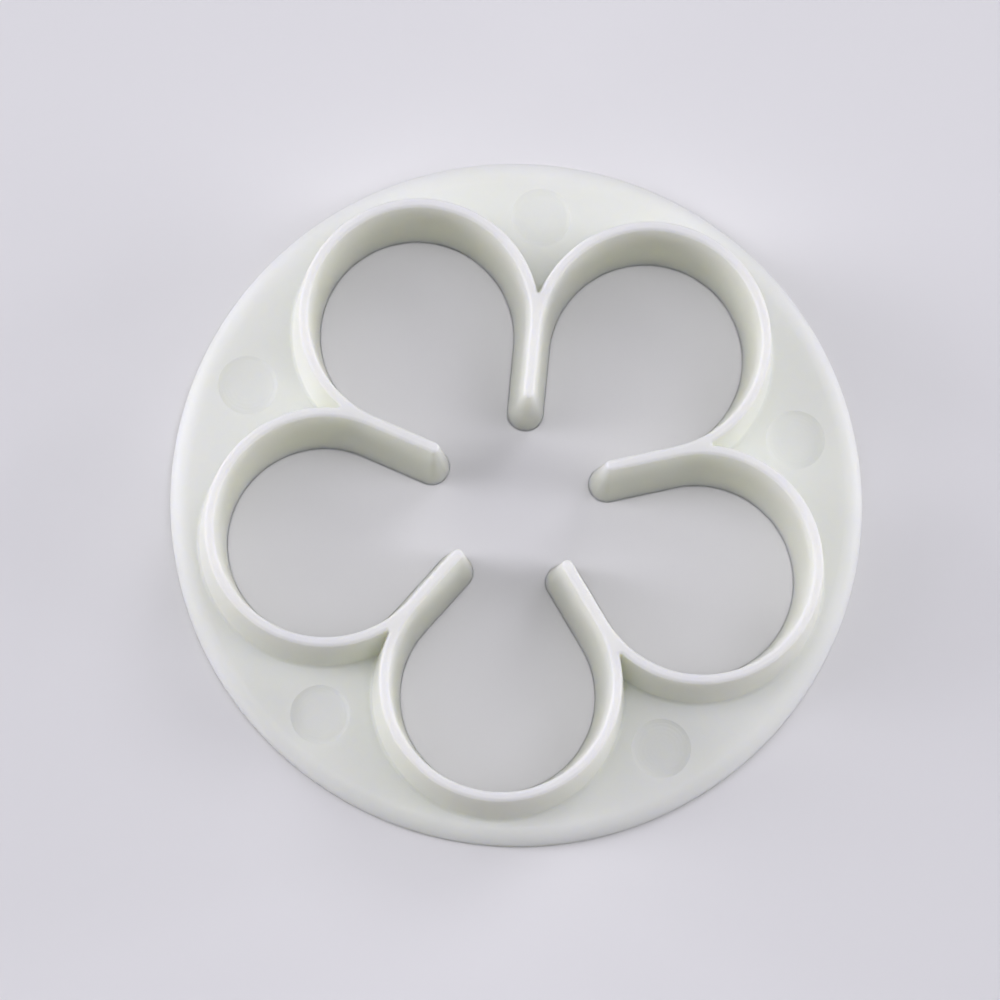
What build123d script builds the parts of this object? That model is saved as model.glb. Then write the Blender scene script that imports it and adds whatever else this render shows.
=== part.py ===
from build123d import *
import os
from math import cos, radians, sin, tan

os.makedirs("parts", exist_ok=True)

# The cutter is one moulding, open right through: a round flange that the fingers press, a thin drafted wall
# that follows the outline of a flower, and webs that run in from the wall to divide the petals.
# Origin: middle of the flange's flat back, on the cutter's axis. +Z points to the cutting edge.

# Driving sizes, in millimetres and degrees
petal_count = 5
first_petal_angle = -90
flower_diameter = 65.0           # across the petal tips, inside the cutting edge
overall_height = 11.9            # flat back to cutting edge
centre_opening_diameter = 15.7   # between the web tips, at the flat back

edge_thickness = 1.0             # flat of the cutting edge and its roundings, round the petals
web_thickness = 1.1              # the same, along the webs
inner_draft = 6.9                # inside of the flower, and the webs
outer_draft = 3.5                # outside of the wall
edge_radius = 0.42               # rounding along both sides of the cutting edge
crotch_radius = 0.2              # rounding where two petals' walls meet, in the plane of the cutting edge
root_radius = 0.4                # fillet between the wall and the flange
root_sink = 0.005                # how far that fillet's lowest point lies under the flange's surface

flange_thickness = 2.0
flange_shelf = 0.18              # flat left between a petal's root fillet and the flange's rounded rim
rim_width = 2.05                 # width of the flange's broad front rounding
rim_drop = 1.1                   # how far the front falls over that width
back_rim_radius = 0.3            # rounding of the flange's back rim

mark_diameter = 6.3              # shallow round ejector marks on the flange, one outside each web
mark_depth = 0.25                # in the middle of a mark's dish
mark_inset = 6.0                 # middle of a mark, in from the flange's rim

# One overrun serves all cuts
overrun = 1.0

# Sizes that follow. In the plane of the cutting edge each petal is a circle that touches the straight sides of
# the two webs beside it, at the touch distance from the axis.
half_pitch = 180 / petal_count
pitch_sine = sin(radians(half_pitch))
petal_radius = (flower_diameter / 2 * pitch_sine - web_thickness / 2) / (1 + pitch_sine)
petal_distance = flower_diameter / 2 - petal_radius
touch_distance = petal_distance * cos(radians(half_pitch))

# The wall's outside leans out by outer_draft, and its root fillet starts where it touches that slope
wall_radius = petal_radius + edge_thickness
fillet_level = flange_thickness - root_sink + root_radius
fillet_touch_level = fillet_level - root_radius * sin(radians(outer_draft))
fillet_touch_radius = wall_radius + (overall_height - fillet_touch_level) * tan(radians(outer_draft))
root_reach = fillet_touch_radius + root_radius * cos(radians(outer_draft))

# The edge rounding touches the same slope near the top, and ends on the flat of the cutting edge
round_level = overall_height - edge_radius
round_touch_level = round_level + edge_radius * sin(radians(outer_draft))
round_touch_radius = wall_radius + (overall_height - round_touch_level) * tan(radians(outer_draft))
round_centre = round_touch_radius - edge_radius * cos(radians(outer_draft))

# The crotch's rounding touches both walls. Its centre is on the web's line, one crotch reach from each petal's.
# The walls lean together below it, and at the crotch level the rounding has shrunk to nothing.
crotch_reach = wall_radius + crotch_radius
crotch_distance = touch_distance + (crotch_reach**2 - (petal_distance * pitch_sine) ** 2) ** 0.5
crotch_level = overall_height - crotch_radius / tan(radians(outer_draft))

flange_radius = petal_distance + root_reach + flange_shelf + rim_width


def narrowing(level):
    """How much narrower the flower is at a level than in the plane of the cutting edge."""
    return (overall_height - level) * tan(radians(inner_draft))


def spoke_point(along, aside, angle):
    """The point at a distance along the spoke at an angle, and at a distance to its left."""
    return Vector(along, aside).rotate(Axis.Z, angle)


def flower_outline(level):
    """The opening's outline at one level: for each petal its arc, a web's side, that web's tip and other side."""
    petal = petal_radius - narrowing(level)
    web = web_thickness / 2 + narrowing(level)
    tip = centre_opening_diameter / 2 + narrowing(0) - narrowing(level)
    for number in range(petal_count):
        petal_angle = first_petal_angle + number * 2 * half_pitch
        web_angle = petal_angle + half_pitch
        arc_start = spoke_point(touch_distance, web, petal_angle - half_pitch)
        arc_end = spoke_point(touch_distance, -web, web_angle)
        tip_start = spoke_point(tip + web, -web, web_angle)
        tip_end = spoke_point(tip + web, web, web_angle)
        ThreePointArc(arc_start, spoke_point(petal_distance + petal, 0, petal_angle), arc_end)
        Line(arc_end, tip_start)
        ThreePointArc(tip_start, spoke_point(tip, 0, web_angle), tip_end)
        Line(tip_end, spoke_point(touch_distance, web, web_angle))


# One petal's wall as a solid of revolution, with its root fillet and the outer rounding of its cutting edge
with BuildPart() as petal_wall:
    with BuildSketch(Plane.XZ):
        with BuildLine():
            fillet_foot = (root_reach, flange_thickness - root_sink)
            fillet_top = (fillet_touch_radius, fillet_touch_level)
            round_foot = (round_touch_radius, round_touch_level)
            round_top = (round_centre, overall_height)
            Polyline((0, overall_height), (0, flange_thickness / 2), (root_reach, flange_thickness / 2), fillet_foot)
            TangentArc(fillet_foot, fillet_top, tangent=(-1, 0))
            Line(fillet_top, round_foot)
            TangentArc(round_top, round_foot, tangent=(1, 0))
            Line(round_top, (0, overall_height))
        make_face()
    revolve(axis=Axis.Z)

# The space in a crotch: the wall's profile, turned about the rounding's centre
with BuildPart() as crotch_space:
    with BuildSketch(Plane.XZ):
        with BuildLine():
            space_round_foot = (crotch_reach - round_touch_radius, round_touch_level)
            space_top = (crotch_reach - round_centre, overall_height)
            above = overall_height + overrun
            TangentArc(space_round_foot, space_top, tangent=Vector(0, 1).rotate(Axis.Z, -outer_draft))
            Polyline(space_top, (space_top[0], above), (0, above), (0, crotch_level), space_round_foot)
        make_face()
    revolve(axis=Axis.Z)

# What fills a crotch: the triangle between the centres of two petals and of the rounding, less that space
with BuildPart() as crotch:
    with BuildSketch(Plane.XY.offset(flange_thickness / 2)):
        with BuildLine():
            petal_aside = petal_distance * pitch_sine
            Polyline(
                (touch_distance, petal_aside), (touch_distance, -petal_aside), (crotch_distance, 0), close=True
            )
        make_face()
    extrude(amount=overall_height - flange_thickness / 2)
    with Locations((crotch_distance, 0)):
        add(crotch_space.part, mode=Mode.SUBTRACT)

with BuildPart() as flower_cutter:
    # Flange, with a broad soft rounding towards its front rim
    with BuildSketch(Plane.XZ):
        with BuildLine():
            rounding_start = (flange_radius - rim_width, flange_thickness)
            rounding_end = (flange_radius, flange_thickness - rim_drop)
            Polyline(rounding_end, (flange_radius, 0), (0, 0), (0, flange_thickness), rounding_start)
            TangentArc(rounding_start, rounding_end, tangent=(1, 0))
        make_face()
    revolve(axis=Axis.Z)
    fillet(flower_cutter.edges().sort_by(Axis.Z)[0], back_rim_radius)

    # Ejector marks: shallow dishes, cut by a large ball
    ball_radius = ((mark_diameter / 2) ** 2 + mark_depth**2) / (2 * mark_depth)
    with Locations((0, 0, flange_thickness - mark_depth + ball_radius)):
        with PolarLocations(flange_radius - mark_inset, petal_count, start_angle=first_petal_angle + half_pitch):
            Sphere(ball_radius, mode=Mode.SUBTRACT)

    # Petal walls, a core that the webs are left from, and the crotches between the walls
    with PolarLocations(petal_distance, petal_count, start_angle=first_petal_angle):
        add(petal_wall.part)
    Cylinder(touch_distance, overall_height, align=(Align.CENTER, Align.CENTER, Align.MIN))
    with PolarLocations(0, petal_count, start_angle=first_petal_angle + half_pitch):
        add(crotch.part)

    # Opening right through, with one draft on petals, webs and web tips
    with BuildSketch(Plane.XY.offset(-overrun)):
        with BuildLine():
            flower_outline(-overrun)
        make_face()
    extrude(amount=overall_height + 2 * overrun, taper=-inner_draft, mode=Mode.SUBTRACT)

    # Inner rounding of the cutting edge, round the petals and along the webs
    cutting_edge = flower_cutter.faces().sort_by(Axis.Z)[-1]
    fillet(cutting_edge.inner_wires()[0].edges(), edge_radius)

flower_cutter.part.label = "flower_cutter"
export_step(flower_cutter.part, "parts/flower_cutter.step")
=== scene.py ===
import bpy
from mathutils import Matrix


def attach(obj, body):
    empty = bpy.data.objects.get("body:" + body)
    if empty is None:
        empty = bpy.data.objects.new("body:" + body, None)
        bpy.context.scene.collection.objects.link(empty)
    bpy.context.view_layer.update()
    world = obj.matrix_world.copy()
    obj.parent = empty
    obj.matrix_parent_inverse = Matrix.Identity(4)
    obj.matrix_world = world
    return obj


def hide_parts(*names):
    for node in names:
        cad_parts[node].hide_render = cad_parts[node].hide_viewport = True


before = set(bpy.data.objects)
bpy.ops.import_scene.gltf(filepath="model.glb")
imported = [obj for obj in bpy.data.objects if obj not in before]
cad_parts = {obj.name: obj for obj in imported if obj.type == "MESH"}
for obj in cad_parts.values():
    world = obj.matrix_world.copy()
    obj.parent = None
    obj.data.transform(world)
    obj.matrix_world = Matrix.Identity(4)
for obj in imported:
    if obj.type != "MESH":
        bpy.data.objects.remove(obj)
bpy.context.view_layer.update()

import bmesh
import bpy
from math import asin, atan, cos, pi, radians, sin, tan
from mathutils import Matrix, Vector

# A flower cutter: one white moulding, open right through, that lies on its flange with the cutting edge up.
# It is modelled in millimetres in the CAD model's frame, half a petal first, and brought to metres when done.

# Sizes of the moulding, as in the part's source
PETALS = 5
FLOWER_DIAMETER = 65.0
HEIGHT = 11.9
CENTRE_OPENING = 15.7
EDGE_THICKNESS = 1.0
WEB_THICKNESS = 1.1
INNER_DRAFT = radians(6.9)
OUTER_DRAFT = radians(3.5)
EDGE_ROUNDING = 0.42
CROTCH_ROUNDING = 0.2
ROOT_FILLET = 0.4
FLANGE_THICKNESS = 2.0
FLANGE_SHELF = 0.18
RIM_WIDTH = 2.05
RIM_DROP = 1.1
BACK_ROUNDING = 0.3
MARK_RADIUS = 3.15
MARK_DEPTH = 0.25
MARK_INSET = 6.0

# Fine detail that only the dressed model has
FLASH = 0.08                # thin line of flash round the opening at the flat back
STRIP = 0.06                # narrow strips that keep the flats flat up to their roundings
RIM_CORNER = 0.12           # softening of the corner under the flange's broad front rounding

# A mark is a shallow dish, steepest at its edge: each step's width, and the share of the depth that it falls
MARK_STEPS = ((0.15, 0.25), (0.25, 0.3), (0.35, 0.23), (0.4, 0.14), (0.5, 0.08))

# The ejector pins stand a little to one side of the flange's middle
PINS_ASIDE = -0.4

# Where the finish changes: the marks' floors, their turned rings and the cutting edge, each with a soft start. On
# the cutting edge the colour is also painted darker and cooler, as painted shade.
FLOOR_LEVELS = (1.2, 1.6)
FLANGE_LEVELS = (2.01, 2.06)
FLOOR_REACH = (2.96, 3.02)
RING_SPACING = 0.42
EDGE_LEVELS = (11.55, 11.88)

# Tolerances for finding points by their place and for merging them, and the size of a millimetre in metres
SAME_PLACE = 0.001
MERGE_DISTANCE = 0.0005
MILLIMETRE = 0.001

# Sizes that follow. The first half petal lies at -Y, and its web runs out at 36 degrees from there.
HALF_PITCH = pi / PETALS
PETAL_RADIUS = (FLOWER_DIAMETER / 2 * sin(HALF_PITCH) - WEB_THICKNESS / 2) / (1 + sin(HALF_PITCH))
PETAL_DISTANCE = FLOWER_DIAMETER / 2 - PETAL_RADIUS
PETAL_MIDDLE = Vector((0, -PETAL_DISTANCE, 0))
RADIUS_AT_BACK = PETAL_RADIUS - HEIGHT * tan(INNER_DRAFT)
WALL_RADIUS = PETAL_RADIUS + EDGE_THICKNESS
ROOT_RADIUS = WALL_RADIUS + (HEIGHT - FLANGE_THICKNESS) * tan(OUTER_DRAFT)
ROOT_OFFSET = ROOT_FILLET * tan(pi / 4 - OUTER_DRAFT / 2)
ALONG_WEB = Vector((sin(HALF_PITCH), -cos(HALF_PITCH), 0))
ACROSS_WEB = Vector((cos(HALF_PITCH), sin(HALF_PITCH), 0))
TOUCH_DISTANCE = PETAL_DISTANCE * cos(HALF_PITCH)
CROTCH_REACH = WALL_RADIUS + CROTCH_ROUNDING
CROTCH_ANGLE = asin(PETAL_DISTANCE * sin(HALF_PITCH) / CROTCH_REACH)
CROTCH_MIDDLE = (TOUCH_DISTANCE + CROTCH_REACH * cos(CROTCH_ANGLE)) * ALONG_WEB
TIP_AXIS = CENTRE_OPENING / 2 + WEB_THICKNESS / 2 + HEIGHT * tan(INNER_DRAFT)
FLANGE_RADIUS = PETAL_DISTANCE + ROOT_RADIUS + ROOT_OFFSET + FLANGE_SHELF + RIM_WIDTH
RIM_ARC = 2 * atan(RIM_DROP / RIM_WIDTH)
RIM_RADIUS = RIM_WIDTH / sin(RIM_ARC)


def near(value, target):
    """Whether a length is the target, to within the tolerance for a place."""
    return abs(value - target) < SAME_PLACE


def open_for_editing(name):
    """Names the new primitive, puts its place in its mesh and opens it, with all of it selected."""
    piece = bpy.context.object
    piece.name = name
    bpy.ops.object.transform_apply(location=True, rotation=True, scale=True)
    bpy.ops.object.mode_set(mode="EDIT")
    bpy.ops.mesh.select_all(action="SELECT")
    return piece


def close():
    """Closes the piece that is being edited."""
    bpy.ops.object.mode_set(mode="OBJECT")


def pick_points(test):
    """Selects only the points that pass the test, and the edges and faces between them."""
    bpy.ops.mesh.select_mode(type="VERT")
    bpy.ops.mesh.select_all(action="DESELECT")
    mesh = bmesh.from_edit_mesh(bpy.context.edit_object.data)
    for point in mesh.verts:
        point.select = test(point.co)
    mesh.select_flush(True)
    bmesh.update_edit_mesh(bpy.context.edit_object.data)


def pick_open_edges(level):
    """Selects only the open edges that lie at a level."""
    bpy.ops.mesh.select_mode(type="EDGE")
    bpy.ops.mesh.select_all(action="DESELECT")
    mesh = bmesh.from_edit_mesh(bpy.context.edit_object.data)
    for edge in mesh.edges:
        edge.select = edge.is_boundary and all(near(end.co.z, level) for end in edge.verts)
    bmesh.update_edit_mesh(bpy.context.edit_object.data)


def pick_faces(test):
    """Selects only the faces whose normal passes the test."""
    bpy.ops.mesh.select_mode(type="FACE")
    bpy.ops.mesh.select_all(action="DESELECT")
    mesh = bmesh.from_edit_mesh(bpy.context.edit_object.data)
    for face in mesh.faces:
        face.select = test(face.normal)
    bmesh.update_edit_mesh(bpy.context.edit_object.data)


def extrude(step):
    """Extrudes what is selected by a step."""
    bpy.ops.mesh.extrude_region_move(TRANSFORM_OT_translate={"value": step})


def round_corner(radius, level, offset, segments):
    """Rounds one corner of the wall's profile."""
    pick_points(lambda at: near(-at.y - PETAL_DISTANCE, radius) and near(at.z, level))
    bpy.ops.mesh.bevel(offset_type="OFFSET", offset=offset, segments=segments, affect="VERTICES")


def sink(middle, scale, drop):
    """Extrudes a ring inwards and down, as the next step of a mark's side."""
    extrude((0, 0, -drop))
    bpy.ops.transform.resize(value=(scale, scale, 1), center_override=middle)


# Profile of the wall at a petal's tip, from the flash at the flat back, over the cutting edge, to the flange
bpy.ops.object.select_all(action="DESELECT")
bpy.ops.mesh.primitive_plane_add(size=1, location=PETAL_MIDDLE - Vector((0, RADIUS_AT_BACK, 0)))
moulding = open_for_editing("flower_cutter_moulding")
bpy.ops.mesh.merge(type="CENTER")
profile = [
    (RADIUS_AT_BACK, 0),
    (RADIUS_AT_BACK, FLASH),
    (RADIUS_AT_BACK + FLASH, FLASH),
    (PETAL_RADIUS, HEIGHT),
    (WALL_RADIUS, HEIGHT),
    (ROOT_RADIUS, FLANGE_THICKNESS),
    (ROOT_RADIUS + ROOT_OFFSET + STRIP, FLANGE_THICKNESS),
]
for (radius, level), (next_radius, next_level) in zip(profile, profile[1:]):
    extrude((0, radius - next_radius, next_level - level))
round_corner(PETAL_RADIUS, HEIGHT, EDGE_ROUNDING * tan(pi / 4 - INNER_DRAFT / 2), 7)
round_corner(WALL_RADIUS, HEIGHT, EDGE_ROUNDING * tan(pi / 4 - OUTER_DRAFT / 2), 7)
round_corner(ROOT_RADIUS, FLANGE_THICKNESS, ROOT_OFFSET, 5)

# Half a petal's wall, as far as the crotch between two petals, and cut off at the middle of the web
bpy.ops.mesh.select_all(action="SELECT")
bpy.ops.mesh.spin(steps=51, angle=-HALF_PITCH - CROTCH_ANGLE, center=PETAL_MIDDLE, axis=(0, 0, 1))
bpy.ops.mesh.select_all(action="SELECT")
bpy.ops.mesh.bisect(plane_co=(0, 0, 0), plane_no=ACROSS_WEB, clear_outer=True, threshold=0.0001)

# Half the crotch's rounding, from the outer side of the profile's last place
across_wall = (CROTCH_MIDDLE - PETAL_MIDDLE).normalized()
wall_middle = PETAL_RADIUS + EDGE_THICKNESS / 2


def pick_last_profile(outside):
    """Selects the profile's last place, on the outside of the wall's middle or on its inside."""
    pick_points(lambda at: near(across_wall.cross(at - PETAL_MIDDLE).z, 0)
        and (across_wall.dot(at - PETAL_MIDDLE) > wall_middle) == outside)


pick_last_profile(True)
bpy.ops.mesh.spin(steps=16, angle=CROTCH_ANGLE, center=CROTCH_MIDDLE, axis=(0, 0, 1))

# The inner side goes on, round the petal and along half a web, from where it touches the petal to its rounded tip
pick_last_profile(False)
bpy.ops.mesh.spin(steps=13, angle=CROTCH_ANGLE - pi / 2, center=PETAL_MIDDLE, axis=(0, 0, 1))
pick_points(lambda at: near(at.dot(ALONG_WEB), TOUCH_DISTANCE))
for step in range(4):
    extrude((TIP_AXIS - TOUCH_DISTANCE) / 4 * ALONG_WEB)
bpy.ops.mesh.spin(steps=15, angle=pi / 2, center=TIP_AXIS * ALONG_WEB, axis=(0, 0, 1))
close()

# The other half of the petal, and the other petals
mirror = moulding.modifiers.new("other_half", "MIRROR")
mirror.merge_threshold = MERGE_DISTANCE
bpy.ops.object.modifier_apply(modifier=mirror.name)
bpy.ops.object.mode_set(mode="EDIT")
bpy.ops.mesh.select_all(action="SELECT")
bpy.ops.mesh.spin(
    steps=PETALS - 1, dupli=True, angle=2 * pi - 2 * HALF_PITCH, center=(0, 0, 0), axis=(0, 0, 1)
)
bpy.ops.mesh.select_all(action="SELECT")
bpy.ops.mesh.remove_doubles(threshold=MERGE_DISTANCE)
close()

# The flange's rim: its broad front rounding, its side and its back rounding, swept round once
bpy.ops.object.select_all(action="DESELECT")
rim_start = (0, STRIP + RIM_WIDTH - FLANGE_RADIUS, FLANGE_THICKNESS)
bpy.ops.mesh.primitive_plane_add(size=1, location=rim_start)
rim = open_for_editing("flange_rim")
bpy.ops.mesh.merge(type="CENTER")
extrude((0, -STRIP, 0))
arc_middle = (0, RIM_WIDTH - FLANGE_RADIUS, FLANGE_THICKNESS - RIM_RADIUS)
bpy.ops.mesh.spin(steps=12, angle=-RIM_ARC, center=arc_middle, axis=(1, 0, 0))
extrude((0, 0, BACK_ROUNDING - FLANGE_THICKNESS + RIM_DROP))
arc_middle = (0, BACK_ROUNDING - FLANGE_RADIUS, BACK_ROUNDING)
bpy.ops.mesh.spin(steps=5, angle=-pi / 2, center=arc_middle, axis=(1, 0, 0))
extrude((0, STRIP, 0))
pick_points(lambda at: near(at.y, -FLANGE_RADIUS) and near(at.z, FLANGE_THICKNESS - RIM_DROP))
bpy.ops.mesh.bevel(offset_type="OFFSET", offset=RIM_CORNER, segments=3, affect="VERTICES")
bpy.ops.mesh.select_all(action="SELECT")
bpy.ops.mesh.spin(steps=240, angle=2 * pi, center=(0, 0, 0), axis=(0, 0, 1))
bpy.ops.mesh.select_all(action="SELECT")
bpy.ops.mesh.remove_doubles(threshold=MERGE_DISTANCE)
close()

# Ejector marks on the flange, one outside each web
marks = []
for number in range(PETALS):
    turn = Matrix.Rotation(HALF_PITCH * (2 * number + 1), 3, "Z")
    middle = turn @ Vector((0, MARK_INSET - FLANGE_RADIUS, FLANGE_THICKNESS)) + Vector((PINS_ASIDE, 0, 0))
    bpy.ops.object.select_all(action="DESELECT")
    bpy.ops.mesh.primitive_circle_add(vertices=64, radius=MARK_RADIUS + STRIP, location=middle)
    marks.append(open_for_editing(f"mark_{number}"))
    sink(middle, MARK_RADIUS / (MARK_RADIUS + STRIP), 0)
    bpy.ops.mesh.mark_sharp()
    radius = MARK_RADIUS
    for width, share in MARK_STEPS:
        sink(middle, 1 - width / radius, share * MARK_DEPTH)
        radius -= width
    bpy.ops.mesh.edge_face_add()
    close()

# The flats of the cutting edge at the webs, of the flange and of the back close the moulding
bpy.ops.object.select_all(action="DESELECT")
for piece in [rim, *marks, moulding]:
    piece.select_set(True)
bpy.context.view_layer.objects.active = moulding
bpy.ops.object.join()
bpy.ops.object.mode_set(mode="EDIT")
for level in (HEIGHT, FLANGE_THICKNESS, 0):
    pick_open_edges(level)
    bpy.ops.mesh.fill(use_beauty=True)
bpy.ops.mesh.select_all(action="SELECT")
bpy.ops.mesh.normals_make_consistent(inside=False)
pick_faces(lambda normal: abs(normal.z) > 0.9999)
bpy.ops.mesh.mod_weighted_strength(set=True, face_strength="STRONG")
close()

# Smooth shading that leaves the flats flat, then to metres
bpy.ops.object.shade_smooth_by_angle(angle=radians(30))
weighted = moulding.modifiers.new("flats", "WEIGHTED_NORMAL")
weighted.keep_sharp = True
weighted.use_face_influence = True
bpy.ops.object.modifier_apply(modifier=weighted.name)
moulding.scale = (MILLIMETRE, MILLIMETRE, MILLIMETRE)
bpy.ops.object.transform_apply(location=True, rotation=True, scale=True)

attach(moulding, "root")
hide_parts("flower_cutter")


class Wire:
    """A socket of a finish. Arithmetic on it adds Math nodes."""

    def __init__(self, finish, socket):
        self.finish = finish
        self.socket = socket

    def other(self, output):
        """Another output of the same node."""
        return Wire(self.finish, self.socket.node.outputs[output])

    def maths(self, operation, *values):
        return self.finish.node("ShaderNodeMath", {"operation": operation}, values)

    def __add__(self, other):
        return self.maths("ADD", self, other)

    def __sub__(self, other):
        return self.maths("SUBTRACT", self, other)

    def __rsub__(self, other):
        return self.maths("SUBTRACT", other, self)

    def __mul__(self, other):
        return self.maths("MULTIPLY", self, other)

    __radd__ = __add__
    __rmul__ = __mul__


class Finish:
    """The nodes of a material or of the room, and the one way in which they are added."""

    def __init__(self, holder, shader):
        holder.use_nodes = True
        self.tree = holder.node_tree
        self.shader = self.tree.nodes[shader]

    def connect(self, node, values):
        """Gives a node's sockets their values or links, by name or in order."""
        for socket, value in values.items() if isinstance(values, dict) else enumerate(values):
            if isinstance(value, Wire):
                self.tree.links.new(value.socket, node.inputs[socket])
            else:
                node.inputs[socket].default_value = value

    def node(self, kind, settings, values, output=0):
        """Adds a node of a kind. Its settings come first, then its sockets, and one output is handed back."""
        node = self.tree.nodes.new(kind)
        for name, setting in settings.items():
            setattr(node, name, setting)
        self.connect(node, values)
        return Wire(self, node.outputs[output])


def step_up(value, low, high):
    """A soft step from 0 to 1 as a value passes from low to high."""
    return value.finish.node("ShaderNodeMapRange", {"interpolation_type": "SMOOTHSTEP"},
        {"Value": value, "From Min": low, "From Max": high})


def step_over(length, band):
    """A soft step from 0 to 1 as a length in metres passes over a band given in millimetres."""
    low, high = band
    return step_up(length, low * MILLIMETRE, high * MILLIMETRE)


def noise(finish, place, scale, detail, roughness=0.5):
    """Noise at a scale in cells to the metre."""
    return finish.node("ShaderNodeTexNoise", {},
        {"Vector": place, "Scale": scale, "Detail": detail, "Roughness": roughness})


def blend_colour(mask, first, second):
    """One colour where the mask is 0, and another where it is 1."""
    return mask.finish.node("ShaderNodeMix", {"data_type": "RGBA"}, {0: mask, 6: first, 7: second}, 2)


def pale_when_seen(finish, for_light, seen):
    """One colour for the light that is thrown back, and another for what the camera and reflections see."""
    mask = finish.node("ShaderNodeLightPath", {}, {}, "Is Camera Ray")
    mask = mask + mask.other("Is Glossy Ray") + mask.other("Is Transmission Ray")
    return blend_colour(mask, for_light, seen)


# White satin plastic
white_plastic = bpy.data.materials.new("white_plastic")
plastic = Finish(white_plastic, "Principled BSDF")
place = plastic.node("ShaderNodeTexCoord", {}, {}, "Object")
x = plastic.node("ShaderNodeSeparateXYZ", {}, {0: place})
y = x.other("Y")
z = x.other("Z")

# The ends of the ejector pins left their turned finish in the marks
across = x - PINS_ASIDE * MILLIMETRE
bearing = y.maths("ARCTAN2", y, across) - pi / 2
bearing = bearing.maths("WRAP", bearing, HALF_PITCH, -HALF_PITCH)
reach = x.maths("SQRT", across * across + y * y)
to_mark = reach * reach.maths("COSINE", bearing) - (FLANGE_RADIUS - MARK_INSET) * MILLIMETRE
aside = reach * reach.maths("SINE", bearing)
from_mark = x.maths("SQRT", to_mark * to_mark + aside * aside)
on_flange = step_over(z, FLOOR_LEVELS) * (1 - step_over(z, FLANGE_LEVELS))
mark_floor = on_flange * (1 - step_over(from_mark, FLOOR_REACH))
rings = x.maths("SINE", from_mark * (2 * pi / (RING_SPACING * MILLIMETRE))) * mark_floor

# The mould's fine grain, a soft waviness, and faint scuffs from use
grain = noise(plastic, place, 5200, 2)
waviness = noise(plastic, place, 420, 2)
clouds = noise(plastic, place, 70, 3)
scuff_place = plastic.node("ShaderNodeMapping", {},
    {"Vector": place, "Rotation": (0, 0, 0.6), "Scale": (1, 14, 1)})
scuffs = step_up(noise(plastic, scuff_place, 160, 4, 0.7), 0.62, 0.72)
edge = step_over(z, EDGE_LEVELS)

tint = blend_colour(step_up(clouds, 0.3, 0.7), (0.79, 0.81, 0.725, 1), (0.815, 0.83, 0.76, 1))
# Painted shade: the cutting edge is painted darker and less yellow than the rest, standing in for how light falls
# on and scatters through its thin top
tint = blend_colour(edge * 0.6, tint, (0.745, 0.75, 0.735, 1))
roughness = 0.4 + clouds * 0.08 + grain * 0.05 + scuffs * 0.08 + edge * 0.1 - mark_floor * 0.05
relief = grain * 0.35 + waviness * 0.9 + rings * 0.25 - scuffs * 0.15
bump = plastic.node("ShaderNodeBump", {}, {"Height": relief, "Strength": 0.35, "Distance": 0.00002})
plastic.connect(plastic.shader, {"Base Color": tint, "Roughness": roughness, "Normal": bump,
    "Subsurface Weight": 0.8, "Subsurface Radius": (1.0, 0.95, 0.7), "Subsurface Scale": 0.0035, "IOR": 1.49})
moulding.data.materials.clear()
moulding.data.materials.append(white_plastic)

# Floor: pale to the camera, and less bright to the light that it throws back on the moulding
bpy.ops.object.select_all(action="DESELECT")
bpy.ops.mesh.primitive_plane_add(size=6, location=(0, 0, -0.00005))
floor = bpy.context.object
floor.name = "floor"
floor_paper = bpy.data.materials.new("floor_paper")
paper = Finish(floor_paper, "Principled BSDF")
paper.connect(paper.shader, {"Roughness": 0.9, "Specular IOR Level": 0.1,
    "Base Color": pale_when_seen(paper, (0.42, 0.415, 0.37, 1), (0.80, 0.80, 0.79, 1))})
floor.data.materials.append(floor_paper)

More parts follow.
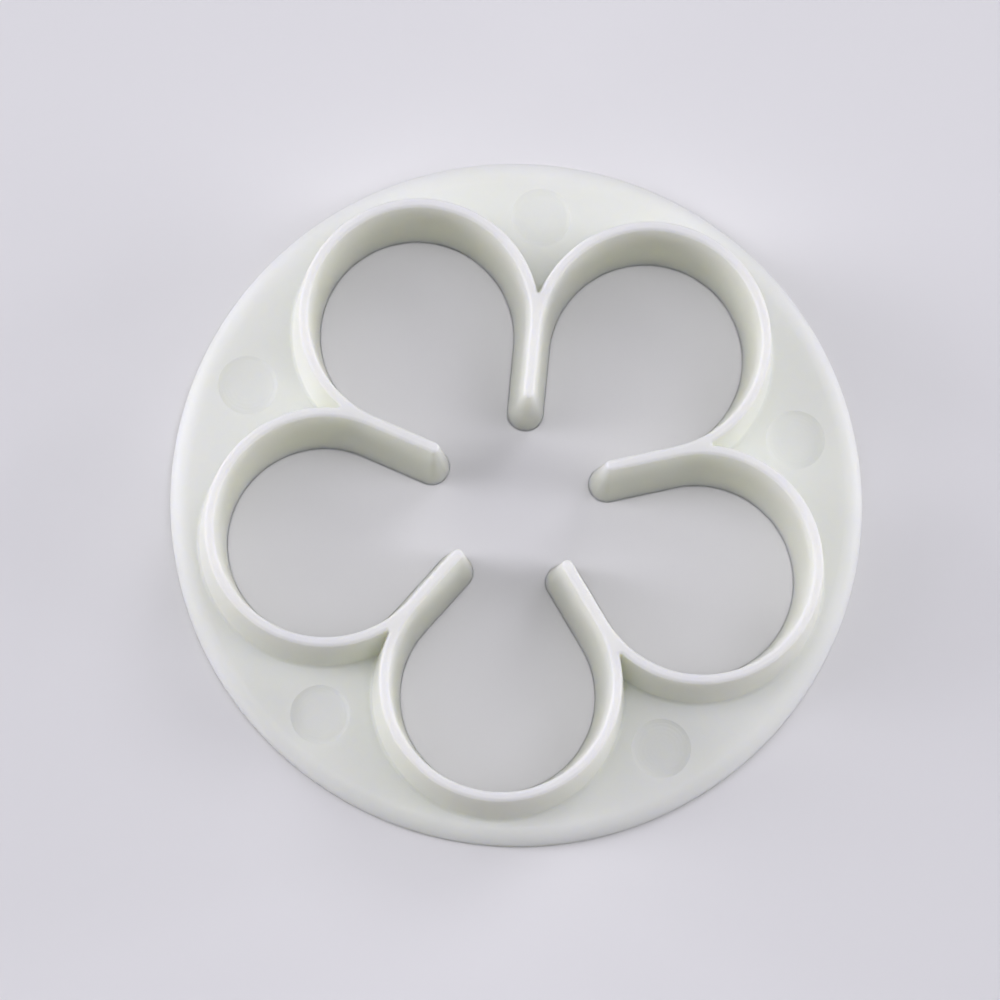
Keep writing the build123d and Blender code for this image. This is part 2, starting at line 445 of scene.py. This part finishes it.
# Camera: nearly above the cutter, tipped a little to the front, aimed just beside the flange's middle
back = Vector((-0.014069, -0.168795, 0.98555)).normalized()
right = Vector((-0.0955, 0.9954, 0)).cross(back).normalized()
up = back.cross(right)
lens = bpy.data.cameras.new("camera")
lens.lens = 272.9
lens.sensor_width = 36
lens.clip_end = 10
camera = bpy.data.objects.new("camera", lens)
bpy.context.scene.collection.objects.link(camera)
distance = 0.8050
aim = 0.000401 * up - 0.001739 * right
place = distance * back
out = (place - aim).normalized()
side = up.cross(out).normalized()
camera.matrix_world = Matrix.Translation(place) @ Matrix((side, out.cross(side), out)).transposed().to_4x4()
bpy.context.scene.camera = camera


# Light
LAMP_DISTANCE = 2.6


def softbox(name, azimuth, elevation, size, watts, colour=(1.02, 1, 1.1)):
    """A round softbox at the lamps' distance, in metres, that faces the cutter."""
    towards = Vector((cos(azimuth) * cos(elevation), sin(azimuth) * cos(elevation), sin(elevation)))
    lamp = bpy.data.lights.new(name, "AREA")
    lamp.shape = "DISK"
    lamp.size = size
    lamp.energy = watts
    lamp.color = colour
    holder = bpy.data.objects.new(name, lamp)
    bpy.context.scene.collection.objects.link(holder)
    turn = towards.to_track_quat("Z", "Y").to_matrix().to_4x4()
    holder.matrix_world = Matrix.Translation(LAMP_DISTANCE * towards) @ turn


for name, azimuth, elevation, size, watts in (
    ("low_back_right", 20, 8, 0.6, 14), ("low_back_left", 160, 8, 0.6, 12.5),
    ("low_behind_right", 40, 8, 0.6, 8.5), ("low_behind_left", 140, 8, 0.6, 8.5),
    ("low_front_right", 320, 8, 0.6, 6), ("low_front_left", 220, 8, 0.6, 7.5),
    ("right", 0, 20, 1.2, 11.5), ("left", 180, 20, 1.2, 18),
    ("right_high", 0, 42, 1.2, 3.5), ("left_high", 180, 42, 1.2, 9), ("back_right_high", 60, 42, 1.2, 10),
    ("right_top", 0, 65, 1.2, 8), ("left_top", 180, 65, 1.2, 6.5), ("top", 90, 88, 1.2, 12),
):
    softbox(name, radians(azimuth), radians(elevation), size, watts)
world = bpy.data.worlds.new("room")
room = Finish(world, "Background")
room.connect(room.shader, {"Color": pale_when_seen(room, (0.02, 0.02, 0.02, 1), (0.65, 0.65, 0.65, 1))})
bpy.context.scene.world = world
bpy.context.scene.view_settings.view_transform = "Standard"

bpy.context.view_layer.update()
